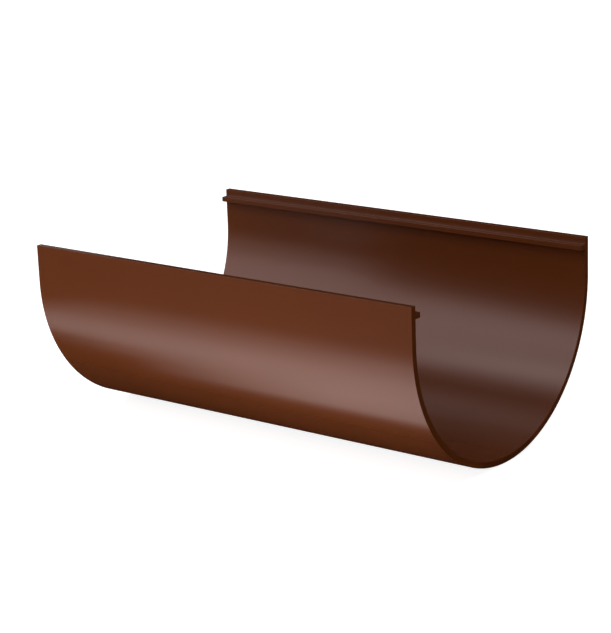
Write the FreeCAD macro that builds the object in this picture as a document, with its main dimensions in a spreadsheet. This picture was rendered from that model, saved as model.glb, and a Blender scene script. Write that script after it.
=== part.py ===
"""Half-round rain gutter section: one extruded PVC profile, open at the top and at both ends.

The section is a semicircle with a short upright side above each end of the arc.
Inside each side, a little below the lip, a square-edged rib runs the whole length.
It stiffens the lip, and the gutter's brackets catch under it.

Frame, in millimetres: X runs along the gutter, Y across it and Z up.
The origin is on the lowest line of the round bottom, midway along the length.
"""

import FreeCAD
import Part
import Sketcher
import math
import os

OUTPUT_FOLDER = "parts"

# Driving dimensions, in millimetres
SIZES = {
    "section_length": 190.0,  # saw cut to saw cut
    "outer_width": 125.0,  # across the outer faces of the two sides
    "wall_thickness": 2.5,  # the same all round the section
    "side_height": 15.7,  # upright side, from the arc's end up to the lip
    "rib_drop": 3.0,  # from the lip down to the rib's top face
    "rib_thickness": 2.1,  # the rib's height
    "rib_reach": 3.0,  # from the inner wall in to the rib's tip
    "rib_root_radius": 0.5,  # hollow corners where the rib meets the wall
    "rib_tip_radius": 0.3,  # rounded corners along the rib's tip
    "lip_radius": 0.4,  # rounded corners along the lip
}

# Numbers that a sketch uses for its own axes, a curve's points and its origin
HORIZONTAL_AXIS, VERTICAL_AXIS = -1, -2
START, END, CENTRE = range(1, 4)
SKETCH_ORIGIN = (HORIZONTAL_AXIS, START)

PLACE_TOLERANCE = 1e-4


def make_sheet(doc):
    """Writes the driving dimensions to a spreadsheet, one named cell each."""
    sheet = doc.addObject("Spreadsheet::Sheet", "Sizes")
    for row, (alias, value) in enumerate(SIZES.items(), start=1):
        sheet.set(f"A{row}", alias)
        sheet.set(f"B{row}", str(value))
        sheet.setAlias(f"B{row}", alias)
    doc.recompute()
    return sheet


def origin_plane(body, role):
    """The body's own origin plane with that role, such as YZ_Plane."""
    return next(plane for plane in body.Origin.OriginFeatures if plane.Role == role)


def section_sketch(body, name):
    """An empty sketch in the section plane: its horizontal is Y and its vertical is Z."""
    sketch = body.newObject("Sketcher::SketchObject", name)
    sketch.AttachmentSupport = [(origin_plane(body, "YZ_Plane"), "")]
    sketch.MapMode = "FlatFace"
    return sketch


def lines_through(points):
    """Line segments from each point to the next."""
    corners = [FreeCAD.Vector(across, up, 0) for across, up in points]
    return [Part.LineSegment(a, b) for a, b in zip(corners, corners[1:])]


def bind(sketch, name, constraint, expression):
    """Adds a dimension to the sketch under a name and ties it to the sheet."""
    index = sketch.addConstraint(constraint)
    sketch.renameConstraint(index, name)
    sketch.setExpression(f"Constraints.{name}", expression)


def draw_wall(body, sheet):
    """The bare U of the wall: two concentric half circles, four upright lines and two lips."""
    radius = sheet.outer_width / 2
    inner_radius = radius - sheet.wall_thickness
    lip_height = radius + sheet.side_height
    centre = FreeCAD.Vector(0, radius, 0)
    normal = FreeCAD.Vector(0, 0, 1)
    half_circle = (math.pi, 2 * math.pi)

    sketch = section_sketch(body, "wall_profile")
    outer_arc = sketch.addGeometry(Part.ArcOfCircle(Part.Circle(centre, normal, radius), *half_circle))
    inner_arc = sketch.addGeometry(Part.ArcOfCircle(Part.Circle(centre, normal, inner_radius), *half_circle))
    right = [(radius, radius), (radius, lip_height), (inner_radius, lip_height), (inner_radius, radius)]
    left = [(-across, up) for across, up in right]
    right_outer, right_lip, right_inner = sketch.addGeometry(lines_through(right))
    left_outer, left_lip, left_inner = sketch.addGeometry(lines_through(left))

    for outer, lip, inner in ((right_outer, right_lip, right_inner), (left_outer, left_lip, left_inner)):
        sketch.addConstraint(Sketcher.Constraint("Coincident", outer, END, lip, START))
        sketch.addConstraint(Sketcher.Constraint("Coincident", lip, END, inner, START))
        sketch.addConstraint(Sketcher.Constraint("Vertical", outer))
        sketch.addConstraint(Sketcher.Constraint("Vertical", inner))
        sketch.addConstraint(Sketcher.Constraint("Horizontal", lip))
    for arc, right_side, left_side, side_end in (
        (outer_arc, right_outer, left_outer, START),
        (inner_arc, right_inner, left_inner, END),
    ):
        sketch.addConstraint(Sketcher.Constraint("Tangent", arc, END, right_side, side_end))
        sketch.addConstraint(Sketcher.Constraint("Tangent", arc, START, left_side, side_end))
    sketch.addConstraint(Sketcher.Constraint("Coincident", outer_arc, CENTRE, inner_arc, CENTRE))
    sketch.addConstraint(Sketcher.Constraint("PointOnObject", outer_arc, CENTRE, VERTICAL_AXIS))
    sketch.addConstraint(Sketcher.Constraint("Equal", right_outer, left_outer))

    bind(sketch, "arc_centre_height",
         Sketcher.Constraint("DistanceY", *SKETCH_ORIGIN, outer_arc, CENTRE, radius),
         "Sizes.outer_width / 2")
    bind(sketch, "outer_radius",
         Sketcher.Constraint("Radius", outer_arc, radius),
         "Sizes.outer_width / 2")
    bind(sketch, "inner_radius",
         Sketcher.Constraint("Radius", inner_arc, inner_radius),
         "Sizes.outer_width / 2 - Sizes.wall_thickness")
    bind(sketch, "side_height",
         Sketcher.Constraint("DistanceY", right_outer, START, right_outer, END, sheet.side_height),
         "Sizes.side_height")
    return sketch


def draw_rib(body, sheet):
    """The rib's rectangle on the right side, from the inner wall towards the middle."""
    root = sheet.outer_width / 2 - sheet.wall_thickness
    tip = root - sheet.rib_reach
    top = sheet.outer_width / 2 + sheet.side_height - sheet.rib_drop
    bottom = top - sheet.rib_thickness

    sketch = section_sketch(body, "rib_profile")
    corners = [(root, bottom), (root, top), (tip, top), (tip, bottom), (root, bottom)]
    sides = sketch.addGeometry(lines_through(corners))
    for side, following in zip(sides, [*sides[1:], sides[0]]):
        sketch.addConstraint(Sketcher.Constraint("Coincident", side, END, following, START))
    root_side, top_side, tip_side, bottom_side = sides
    for upright in (root_side, tip_side):
        sketch.addConstraint(Sketcher.Constraint("Vertical", upright))
    for level in (top_side, bottom_side):
        sketch.addConstraint(Sketcher.Constraint("Horizontal", level))

    bind(sketch, "root_offset",
         Sketcher.Constraint("DistanceX", *SKETCH_ORIGIN, root_side, END, root),
         "Sizes.outer_width / 2 - Sizes.wall_thickness")
    bind(sketch, "top_height",
         Sketcher.Constraint("DistanceY", *SKETCH_ORIGIN, root_side, END, top),
         "Sizes.outer_width / 2 + Sizes.side_height - Sizes.rib_drop")
    bind(sketch, "reach",
         Sketcher.Constraint("DistanceX", top_side, END, top_side, START, sheet.rib_reach),
         "Sizes.rib_reach")
    bind(sketch, "thickness",
         Sketcher.Constraint("DistanceY", root_side, START, root_side, END, sheet.rib_thickness),
         "Sizes.rib_thickness")
    return sketch


def extrude(body, sketch, name):
    """Pads a section along X, half the length to each side of the origin."""
    pad = body.newObject("PartDesign::Pad", name)
    pad.Profile = sketch
    pad.SideType = "Symmetric"
    pad.setExpression("Length", "Sizes.section_length")
    return pad


def long_edges(feature, across, up):
    """Names of the edges that run along X at that place in the section, on either side."""
    names = []
    for number, edge in enumerate(feature.Shape.Edges, start=1):
        first, last = edge.Vertexes[0].Point, edge.Vertexes[-1].Point
        runs_along = abs(first.y - last.y) < PLACE_TOLERANCE and abs(first.z - last.z) < PLACE_TOLERANCE
        in_place = abs(abs(first.y) - across) < PLACE_TOLERANCE and abs(first.z - up) < PLACE_TOLERANCE
        if runs_along and in_place:
            names.append(f"Edge{number}")
    return names


def round_edges(body, base, name, places, radius_alias):
    """Fillets the long edges at the given places, on both sides of the gutter."""
    edges = [edge for across, up in places for edge in long_edges(base, across, up)]
    fillet = body.newObject("PartDesign::Fillet", name)
    fillet.Base = (base, edges)
    fillet.setExpression("Radius", f"Sizes.{radius_alias}")
    body.Document.recompute()
    return fillet


def build_gutter(doc, sheet):
    """The whole section as one body."""
    body = doc.addObject("PartDesign::Body", "gutter_section")
    body.Label = "gutter_section"

    wall = extrude(body, draw_wall(body, sheet), "wall")
    rib = extrude(body, draw_rib(body, sheet), "right_rib")
    both_ribs = body.newObject("PartDesign::Mirrored", "left_rib")
    both_ribs.Originals = [rib]
    both_ribs.MirrorPlane = (origin_plane(body, "XZ_Plane"), [""])
    body.Tip = both_ribs
    doc.recompute()

    outer_face = sheet.outer_width / 2
    inner_face = outer_face - sheet.wall_thickness
    rib_tip = inner_face - sheet.rib_reach
    lip = outer_face + sheet.side_height
    rib_top = lip - sheet.rib_drop
    rib_bottom = rib_top - sheet.rib_thickness
    rounded = round_edges(body, both_ribs, "rib_roots",
                          [(inner_face, rib_top), (inner_face, rib_bottom)], "rib_root_radius")
    rounded = round_edges(body, rounded, "rib_tips",
                          [(rib_tip, rib_top), (rib_tip, rib_bottom)], "rib_tip_radius")
    rounded = round_edges(body, rounded, "lips",
                          [(outer_face, lip), (inner_face, lip)], "lip_radius")
    body.Tip = rounded
    doc.recompute()
    return body


def check(doc, bodies):
    """Stops the build if a feature failed or a sub-part's solid isn't sound."""
    failed = [item.Label for item in doc.Objects if {"Invalid", "Error"} & set(item.State)]
    if failed:
        raise RuntimeError(f"these features failed: {failed}")
    for body in bodies:
        if body.Shape.isNull() or not body.Shape.isValid() or not body.Shape.Solids:
            raise RuntimeError(f"{body.Label} has no sound solid")


def main():
    doc = FreeCAD.newDocument("gutter")
    sheet = make_sheet(doc)
    bodies = [build_gutter(doc, sheet)]
    check(doc, bodies)
    os.makedirs(OUTPUT_FOLDER, exist_ok=True)
    for body in bodies:
        body.Shape.exportStep(os.path.join(OUTPUT_FOLDER, f"{body.Label}.step"))
        box = body.Shape.BoundBox
        print(f"{body.Label}: {box.XLength:.2f} x {box.YLength:.2f} x {box.ZLength:.2f} mm, "
              f"{body.Shape.Volume / 1000:.2f} cm3, {len(body.Shape.Faces)} faces")


main()
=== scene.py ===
import bpy
from math import cos, pi, radians, sin
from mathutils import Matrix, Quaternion, Vector


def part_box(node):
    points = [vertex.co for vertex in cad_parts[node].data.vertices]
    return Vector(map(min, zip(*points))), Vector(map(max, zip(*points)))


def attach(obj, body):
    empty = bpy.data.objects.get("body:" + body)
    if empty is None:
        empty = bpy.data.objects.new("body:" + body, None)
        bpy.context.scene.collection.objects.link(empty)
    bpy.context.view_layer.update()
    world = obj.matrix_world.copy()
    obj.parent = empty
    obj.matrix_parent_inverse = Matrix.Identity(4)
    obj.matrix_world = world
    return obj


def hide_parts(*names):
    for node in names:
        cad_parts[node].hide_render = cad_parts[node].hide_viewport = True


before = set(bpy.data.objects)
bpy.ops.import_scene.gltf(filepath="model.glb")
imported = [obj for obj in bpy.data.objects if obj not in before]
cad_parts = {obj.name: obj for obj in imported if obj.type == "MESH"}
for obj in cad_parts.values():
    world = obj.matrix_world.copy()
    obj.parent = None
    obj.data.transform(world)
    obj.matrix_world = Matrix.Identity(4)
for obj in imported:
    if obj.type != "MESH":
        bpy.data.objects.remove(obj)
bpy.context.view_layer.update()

# The frame's own box, before anything is modelled
print("frame loaded:", sorted(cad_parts))

samePlace = 0.00001  # metres within which two places count as one
quarterTurn = radians(90)
white = (1, 1, 1, 1)
black = (0, 0, 0, 1)


def deselectAll():
    bpy.ops.object.select_all(action="DESELECT")


def pickEdges(obj, wanted):
    # edit mode: selects only the edges whose two end points pass the test
    bpy.ops.mesh.select_mode(type="EDGE")
    bpy.ops.mesh.select_all(action="DESELECT")
    bpy.ops.object.mode_set(mode="OBJECT")
    points = obj.data.vertices
    for edge in obj.data.edges:
        edge.select = wanted(*(points[i].co for i in edge.vertices))
    bpy.ops.object.mode_set(mode="EDIT")


def pickFaces(obj, wanted):
    # edit mode: selects only the faces that pass the test
    bpy.ops.mesh.select_mode(type="FACE")
    bpy.ops.mesh.select_all(action="DESELECT")
    bpy.ops.object.mode_set(mode="OBJECT")
    for face in obj.data.polygons:
        face.select = wanted(face)
    bpy.ops.object.mode_set(mode="EDIT")


def near(a, b):
    return abs(a - b) < samePlace


def bevelPicked(width, steps, clamp=False):
    bpy.ops.mesh.bevel(offset=width, offset_type="OFFSET", segments=steps, affect="EDGES",
                       clamp_overlap=clamp)


# Gutter: the section is drawn at the far end, then pulled along to the near end
gutterLow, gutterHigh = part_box("gutter_section")
gutter = {
    "wall": 0.0025,
    "ribDrop": 0.003,  # lip down to the rib
    "ribThick": 0.0021,
    "ribReach": 0.003,  # wall in to the rib's tip
    "ribRootRound": 0.0001,
    "ribTipRound": 0.0001,
    "lipRound": 0.0001,
    "roundSteps": 3,
    "sawEdge": 0.00006,  # the cut's sharp edge, just broken
    "sawEdgeSteps": 2,
    "arcSteps": 60,  # in a quarter of the section
    "arcMerge": 0.000001,  # metres
    "mirrorMerge": 0.00001,
    "endNormal": 0.9,  # a face that points along x by more than this is at an end
    "cutNormal": 0.99,  # and by more than this, it is the flat cut itself
    "smoothBelow": 30,  # degrees between two faces
}


def sectionPlaces(g):
    # y of the right side's upright faces, and z of its level ones
    outer = gutterHigh.y
    inner = outer - g["wall"]
    lip = gutterHigh.z
    ribTop = lip - g["ribDrop"]
    return {
        "outer": outer,
        "inner": inner,
        "ribTip": inner - g["ribReach"],
        "lip": lip,
        "ribTop": ribTop,
        "ribBottom": ribTop - g["ribThick"],
        "arcCentre": outer,  # one radius above the bottom line; the arc ends at this height too
    }


def drawSection(g, at):
    # the right half as a flat sheet, then its mirror image
    wall = g["wall"]
    arcCentre = at["arcCentre"]
    bpy.ops.mesh.primitive_plane_add(size=wall, rotation=(0, quarterTurn, 0),
                                     location=(gutterLow.x, at["outer"] - wall / 2, arcCentre + wall / 2))
    obj = bpy.context.object
    obj.name = "gutter"
    bpy.ops.object.transform_apply(location=True, rotation=True, scale=True)

    # the upright side: the square's top edge goes up to the lip
    bpy.ops.object.mode_set(mode="EDIT")
    pickEdges(obj, lambda a, b: near(a.z, arcCentre + wall) and near(b.z, arcCentre + wall))
    bpy.ops.transform.translate(value=(0, 0, at["lip"] - arcCentre - wall))

    # the rib: the side is cut at its two heights, and pulled out between them
    for height in (at["ribBottom"], at["ribTop"]):
        bpy.ops.mesh.select_all(action="SELECT")
        bpy.ops.mesh.bisect(plane_co=(0, 0, height), plane_no=(0, 0, 1))
    ribMiddle = (at["ribBottom"] + at["ribTop"]) / 2
    pickEdges(obj, lambda a, b: near(a.y, at["inner"]) and near(b.y, at["inner"])
              and near((a.z + b.z) / 2, ribMiddle))
    bpy.ops.mesh.extrude_region_move(TRANSFORM_OT_translate={"value": (0, -g["ribReach"], 0)})

    # the round bottom: the side's lower edge is spun down to the middle
    pickEdges(obj, lambda a, b: near(a.z, arcCentre) and near(b.z, arcCentre))
    bpy.ops.mesh.spin(steps=g["arcSteps"], angle=quarterTurn, center=(gutterLow.x, 0, arcCentre),
                      axis=(1, 0, 0))
    bpy.ops.mesh.select_all(action="SELECT")
    bpy.ops.mesh.remove_doubles(threshold=g["arcMerge"])
    bpy.ops.object.mode_set(mode="OBJECT")

    mirror = obj.modifiers.new("otherSide", "MIRROR")
    mirror.use_axis = (False, True, False)
    mirror.merge_threshold = g["mirrorMerge"]
    bpy.ops.object.modifier_apply(modifier=mirror.name)
    return obj


def roundLongEdges(obj, places, radius, steps):
    # the edges that run the whole length at these (y, z) places, on both sides
    def isOne(a, b):
        alongX = near(a.y, b.y) and near(a.z, b.z) and not near(a.x, b.x)
        return alongX and any(near(abs(a.y), y) and near(a.z, z) for y, z in places)
    pickEdges(obj, isOne)
    bevelPicked(radius, steps)


def makeGutter(g):
    at = sectionPlaces(g)
    obj = drawSection(g, at)
    bpy.ops.object.mode_set(mode="EDIT")
    bpy.ops.mesh.select_all(action="SELECT")
    bpy.ops.mesh.extrude_region_move(TRANSFORM_OT_translate={"value": (gutterHigh.x - gutterLow.x, 0, 0)})
    bpy.ops.mesh.select_all(action="SELECT")
    bpy.ops.mesh.normals_make_consistent(inside=False)

    ribHeights = (at["ribTop"], at["ribBottom"])
    roundLongEdges(obj, [(at["inner"], z) for z in ribHeights], g["ribRootRound"], g["roundSteps"])
    roundLongEdges(obj, [(at["ribTip"], z) for z in ribHeights], g["ribTipRound"], g["roundSteps"])
    lipSides = (at["outer"], at["inner"])
    roundLongEdges(obj, [(y, at["lip"]) for y in lipSides], g["lipRound"], g["roundSteps"])

    # the saw cuts' outlines
    pickFaces(obj, lambda face: abs(face.normal.x) > g["endNormal"])
    bpy.ops.mesh.region_to_loop()
    bevelPicked(g["sawEdge"], g["sawEdgeSteps"], clamp=True)
    bpy.ops.object.mode_set(mode="OBJECT")

    # shading follows the large faces, so the rounds blend into flat walls
    bpy.ops.object.shade_smooth_by_angle(angle=radians(g["smoothBelow"]))
    evenShading = obj.modifiers.new("evenShading", "WEIGHTED_NORMAL")
    evenShading.keep_sharp = True
    bpy.ops.object.modifier_apply(modifier=evenShading.name)
    return obj


deselectAll()
gutterPiece = makeGutter(gutter)
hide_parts("gutter_section")
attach(gutterPiece, "root")
print("gutter modelled:", len(gutterPiece.data.polygons), "faces")


# Finishes
brown = (0.125, 0.03, 0.0065, 1)  # the same all through the wall
plastic = {
    "brown": brown,
    "sheenColour": (1, 0.76, 0.745, 1),  # the warm tone of its highlights
    "roughness": 0.267,
    "dieLineWidth": 0.0009,
    "dieLineLength": 0.25,
    "dieLineRoughness": 0.005,  # up and down from the plain roughness
    "dieLineDepth": 0.0000004,
    "skinWidth": 0.004,
    "skinDepth": 0.0000025,
    "cloudWidth": 0.06,
    "cloudTone": 0.03,  # darker and lighter by this share
}
sawnEnd = {
    "brown": brown,
    "roughness": 0.8,
    "specular": 0.01,
    "markWidth": 0.0004,
    "markLength": 0.03,
    "markThrough": 1,  # far longer than the gutter, so both cuts show much the same marks
    "markTilt": 14,  # degrees from upright
    "markDepth": 0.00003,
}
noiseLow, noiseHigh = 0.3, 0.7  # noise stays mostly between these

# a Mix node's sockets go by number, because their names repeat
mixNumber = {"first": 2, "second": 3, "result": 0}
mixColour = {"first": 6, "second": 7, "result": 2}


def newMaterial(name):
    material = bpy.data.materials.new(name)
    material.use_nodes = True
    return material, material.node_tree.nodes["Principled BSDF"]


def addNode(owner, kind, **settings):
    # the owner is a material, a lamp's data or a world
    node = owner.node_tree.nodes.new(kind)
    for name, value in settings.items():
        setattr(node, name, value)
    return node


def join(owner, source, target):
    owner.node_tree.links.new(source, target)


def placedNoise(material, size, turn=(0, 0, 0)):
    # noise on object coordinates, with a grain of this size in metres along each axis
    place = addNode(material, "ShaderNodeTexCoord")
    grain = addNode(material, "ShaderNodeMapping")
    grain.inputs["Scale"].default_value = [1 / s for s in size]
    grain.inputs["Rotation"].default_value = [radians(t) for t in turn]
    noise = addNode(material, "ShaderNodeTexNoise")
    noise.inputs["Scale"].default_value = 1
    join(material, place.outputs["Object"], grain.inputs["Vector"])
    join(material, grain.outputs["Vector"], noise.inputs["Vector"])
    return noise.outputs["Fac"]


def addRange(owner, source, fromRange, toRange):
    ranged = addNode(owner, "ShaderNodeMapRange")
    ranged.inputs["From Min"].default_value, ranged.inputs["From Max"].default_value = fromRange
    ranged.inputs["To Min"].default_value, ranged.inputs["To Max"].default_value = toRange
    join(owner, source, ranged.inputs["Value"])
    return ranged.outputs["Result"]


def spreadNoise(material, noise, least, most):
    return addRange(material, noise, (noiseLow, noiseHigh), (least, most))


def addBump(material, source, depth, before=None):
    bump = addNode(material, "ShaderNodeBump")
    bump.inputs["Distance"].default_value = depth
    join(material, source, bump.inputs["Height"])
    if before:
        join(material, before, bump.inputs["Normal"])
    return bump.outputs["Normal"]


def tonedColour(material, noise, colour, share):
    # the colour, darker and lighter by this share
    tone = addNode(material, "ShaderNodeMix", data_type="RGBA")
    tone.inputs[mixColour["first"]].default_value = [c * (1 - share) for c in colour[:3]] + [1]
    tone.inputs[mixColour["second"]].default_value = [c * (1 + share) for c in colour[:3]] + [1]
    join(material, spreadNoise(material, noise, 0, 1), tone.inputs["Factor"])
    return tone.outputs[mixColour["result"]]


def makePlastic(p):
    # extruded plastic: satin, with faint lines from the die along its length
    material, shader = newMaterial("brownPlastic")
    dieLines = placedNoise(material, (p["dieLineLength"], p["dieLineWidth"], p["dieLineWidth"]))
    skin = placedNoise(material, (p["skinWidth"],) * 3)
    clouds = placedNoise(material, (p["cloudWidth"],) * 3)
    join(material, tonedColour(material, clouds, p["brown"], p["cloudTone"]), shader.inputs["Base Color"])
    rough = spreadNoise(material, dieLines, p["roughness"] - p["dieLineRoughness"],
                        p["roughness"] + p["dieLineRoughness"])
    join(material, rough, shader.inputs["Roughness"])
    bumped = addBump(material, skin, p["skinDepth"])
    bumped = addBump(material, dieLines, p["dieLineDepth"], before=bumped)
    join(material, bumped, shader.inputs["Normal"])
    shader.inputs["Specular Tint"].default_value = p["sheenColour"]
    return material


def makeSawnEnd(s):
    # the cut ends: duller, with fine slanted marks from the blade
    material, shader = newMaterial("sawnPlastic")
    marks = placedNoise(material, (s["markThrough"], s["markWidth"], s["markLength"]),
                        turn=(s["markTilt"], 0, 0))
    shader.inputs["Base Color"].default_value = s["brown"]
    shader.inputs["Roughness"].default_value = s["roughness"]
    shader.inputs["Specular IOR Level"].default_value = s["specular"]
    join(material, addBump(material, marks, s["markDepth"]), shader.inputs["Normal"])
    return material


gutterPiece.data.materials.clear()
gutterPiece.data.materials.append(makePlastic(plastic))
gutterPiece.data.materials.append(makeSawnEnd(sawnEnd))
for face in gutterPiece.data.polygons:
    face.material_index = 1 if abs(face.normal.x) > gutter["cutNormal"] else 0
print("finishes made")


# Studio: a pale floor and soft lamps
studio = {
    "floorSize": 8.0,
    "floorGrey": 0.7,
    "floorShown": 0.89,  # what the floor shows by itself, under its own light and shadow
    "shadowWithin": 0.5,  # metres from the gutter; from here on the floor turns white
    "whiteBeyond": 1.5,
    "roomLight": 0.05,
    "roomShown": 0.04,  # what gloss sees above the horizon's white
    "whiteUpTo": 9,  # degrees above the horizon
    "darkFrom": 12,
}
darkCards = {
    # a black card under the gutter and one standing behind it, which only gloss sees,
    # so that the brown stays deep
    "halfWidth": 0.8,
    "middleX": -0.1,
    "tall": 0.45,
    "lift": 0.00005,
}
softboxes = {
    # turn: degrees from the left side toward the near end; lift: degrees up;
    # glow: brightness of its face
    "softboxLeft": {"turn": -48, "lift": 32, "wide": 0.8, "high": 1.15, "glow": 2.15},
    "softboxFill": {"turn": -48, "lift": 50, "wide": 0.8, "high": 0.8, "glow": 0.7, "gloss": False},
    "softboxHigh": {"turn": -20, "lift": 62, "wide": 1.0, "high": 0.4, "glow": 2.0},
    "softboxLow": {"turn": -20, "lift": 30, "wide": 0.6, "high": 0.36, "glow": 1.4},
    "softboxFront": {"turn": 90, "lift": 8, "wide": 0.5, "high": 0.4, "glow": 1.2},
    "softboxBack": {"turn": 160, "lift": 38, "wide": 0.9, "high": 0.5, "glow": 2.6},
    "softboxOver": {"turn": -119, "lift": 53, "wide": 0.5, "high": 0.5, "glow": 0.6},
}
softboxAway = 1.3
softboxAim = Vector((0, 0, 0.05))
lowPanels = {
    # lie on the floor beside the gutter, facing up, once on each side;
    # their glow rises from the far end
    "lowPanelInner": {"x": (-0.08, 0.11), "y": (0.056, 0.068), "farGlow": 0, "glow": 1.75, "matte": False},
    "lowPanelSecond": {"x": (-0.13, 0.11), "y": (0.068, 0.08), "farGlow": 0, "glow": 2.3, "matte": False},
    "lowPanelThird": {"x": (-0.171, 0.11), "y": (0.08, 0.108), "farGlow": 1.55, "glow": 2.45},
    "lowPanelOuter": {"x": (-0.171, 0.11), "y": (0.108, 0.14), "farGlow": 0.8, "glow": 1.75},
    "lowPanelEdge": {"x": (-0.171, 0.11), "y": (0.14, 0.17), "farGlow": 0.4, "glow": 0.65},
    "lowPanelUnder": {"x": (-0.28, 0.1), "y": (0.02, 0.056), "farGlow": 0.75, "glow": 0.75, "gloss": False},
    "lowPanelWide": {"x": (-0.35, 0.25), "y": (0.17, 0.6), "farGlow": 0.9, "glow": 0.9, "gloss": False},
}
lowPanelLift = 0.002
fullGlowFrom = 0.03  # x at which a low panel's rising glow is full


def seenDirectly(owner):
    # 1 for camera, glossy and transmission rays
    rays = addNode(owner, "ShaderNodeLightPath")
    total = rays.outputs["Is Camera Ray"]
    for kind in ("Is Glossy Ray", "Is Transmission Ray"):
        add = addNode(owner, "ShaderNodeMath", operation="ADD", use_clamp=True)
        join(owner, total, add.inputs[0])
        join(owner, rays.outputs[kind], add.inputs[1])
        total = add.outputs["Value"]
    return total


def makeFloor(s):
    deselectAll()
    bpy.ops.mesh.primitive_plane_add(size=s["floorSize"])
    floor = bpy.context.object
    floor.name = "floor"
    material, shader = newMaterial("paleFloor")
    shader.inputs["Base Color"].default_value = (s["floorGrey"],) * 3 + (1,)
    shader.inputs["Roughness"].default_value = 1
    shader.inputs["Specular IOR Level"].default_value = 0
    shader.inputs["Emission Color"].default_value = white
    place = addNode(material, "ShaderNodeTexCoord")
    distance = addNode(material, "ShaderNodeVectorMath", operation="LENGTH")
    join(material, place.outputs["Object"], distance.inputs[0])
    whiten = addRange(material, distance.outputs["Value"],
                      (s["shadowWithin"], s["whiteBeyond"]), (s["floorShown"], 1))
    shown = addNode(material, "ShaderNodeMath", operation="MULTIPLY")
    join(material, seenDirectly(material), shown.inputs[0])
    join(material, whiten, shown.inputs[1])
    join(material, shown.outputs["Value"], shader.inputs["Emission Strength"])
    floor.data.materials.append(material)


def makeDarkCards(c):
    # the standing card is pulled up from the floor card's far edge
    deselectAll()
    bpy.ops.mesh.primitive_plane_add(size=2 * c["halfWidth"], location=(c["middleX"], 0, c["lift"]))
    cards = bpy.context.object
    cards.name = "darkCards"
    bpy.ops.object.mode_set(mode="EDIT")
    pickEdges(cards, lambda a, b: near(a.y, c["halfWidth"]) and near(b.y, c["halfWidth"]))
    bpy.ops.mesh.extrude_edges_move(TRANSFORM_OT_translate={"value": (0, 0, c["tall"])})
    bpy.ops.object.mode_set(mode="OBJECT")
    material, shader = newMaterial("blackCard")
    shader.inputs["Base Color"].default_value = black
    shader.inputs["Specular IOR Level"].default_value = 0
    cards.data.materials.append(material)
    cards.visible_camera = False
    cards.visible_diffuse = False
    cards.visible_transmission = False
    cards.visible_shadow = False


def makeRoom(s):
    # a dim room, whose horizon looks as white as the floor
    world = bpy.data.worlds.new("studio")
    bpy.context.scene.world = world
    world.use_nodes = True
    background = world.node_tree.nodes["Background"]
    direction = addNode(world, "ShaderNodeTexCoord")
    parts = addNode(world, "ShaderNodeSeparateXYZ")
    join(world, direction.outputs["Generated"], parts.inputs["Vector"])
    fade = addRange(world, parts.outputs["Z"],
                    (sin(radians(s["whiteUpTo"])), sin(radians(s["darkFrom"]))), (1, s["roomShown"]))
    choice = addNode(world, "ShaderNodeMix", data_type="FLOAT")
    choice.inputs[mixNumber["first"]].default_value = s["roomLight"]
    join(world, seenDirectly(world), choice.inputs["Factor"])
    join(world, fade, choice.inputs[mixNumber["second"]])
    join(world, choice.outputs[mixNumber["result"]], background.inputs["Strength"])
    background.inputs["Color"].default_value = white


def addLamp(name, place, b):
    data = bpy.data.lights.new(name, "AREA")
    data.shape = "RECTANGLE"
    data.size = b["wide"]
    data.size_y = b["high"]
    data.energy = b["glow"] * pi * b["wide"] * b["high"]  # the watts that give its face this glow
    lamp = bpy.data.objects.new(name, data)
    bpy.context.scene.collection.objects.link(lamp)
    lamp.location = place
    lamp.visible_camera = False
    lamp.visible_glossy = b.get("gloss", True)
    lamp.visible_diffuse = b.get("matte", True)
    return lamp


def addSoftbox(name, b):
    turn, lift = radians(b["turn"]), radians(b["lift"])
    outward = Vector((sin(turn) * cos(lift), -cos(turn) * cos(lift), sin(lift)))
    lamp = addLamp(name, softboxAim + outward * softboxAway, b)
    lamp.rotation_euler = outward.to_track_quat("Z", "Y").to_euler()


def raiseGlow(lamp, b):
    # the lamp's strength rises along x, from its far end's share of the full glow
    tree = lamp.data
    tree.use_nodes = True
    where = addNode(tree, "ShaderNodeNewGeometry")
    parts = addNode(tree, "ShaderNodeSeparateXYZ")
    join(tree, where.outputs["Position"], parts.inputs["Vector"])
    rise = addRange(tree, parts.outputs["X"], (b["x"][0], fullGlowFrom), (b["farGlow"] / b["glow"], 1))
    join(tree, rise, tree.node_tree.nodes["Emission"].inputs["Strength"])


def addLowPanel(name, b):
    sized = {**b, "wide": b["x"][1] - b["x"][0], "high": b["y"][1] - b["y"][0]}
    for sideName, side in (("Left", -1), ("Right", 1)):
        place = (sum(b["x"]) / 2, side * sum(b["y"]) / 2, lowPanelLift)
        lamp = addLamp(name + sideName, place, sized)
        lamp.rotation_euler = (2 * quarterTurn, 0, 0)
        raiseGlow(lamp, b)


makeFloor(studio)
makeDarkCards(darkCards)
makeRoom(studio)
for lampName, box in softboxes.items():
    addSoftbox(lampName, box)
for lampName, panel in lowPanels.items():
    addLowPanel(lampName, panel)
print("studio lit")

# Camera: the photo's own place and turn
cameraSetup = {
    "place": (0.5148, -0.6528, 0.2802),
    "turnLeft": 38.45,  # degrees
    "lookDown": 15.74,
    "roll": -2.18,
    "lens": 118.3,
    "sensor": 36.0,
}


def placeCamera(c):
    data = bpy.data.cameras.new("photoView")
    data.lens = c["lens"]
    data.sensor_width = c["sensor"]
    camera = bpy.data.objects.new("photoView", data)
    bpy.context.scene.collection.objects.link(camera)
    camera.location = c["place"]
    camera.rotation_mode = "QUATERNION"
    camera.rotation_quaternion = (Quaternion((0, 0, 1), radians(c["turnLeft"]))
                                  @ Quaternion((1, 0, 0), radians(90 - c["lookDown"]))
                                  @ Quaternion((0, 0, 1), radians(c["roll"])))
    bpy.context.scene.camera = camera


placeCamera(cameraSetup)
print("camera placed")

bpy.context.scene.view_settings.view_transform = "Standard"
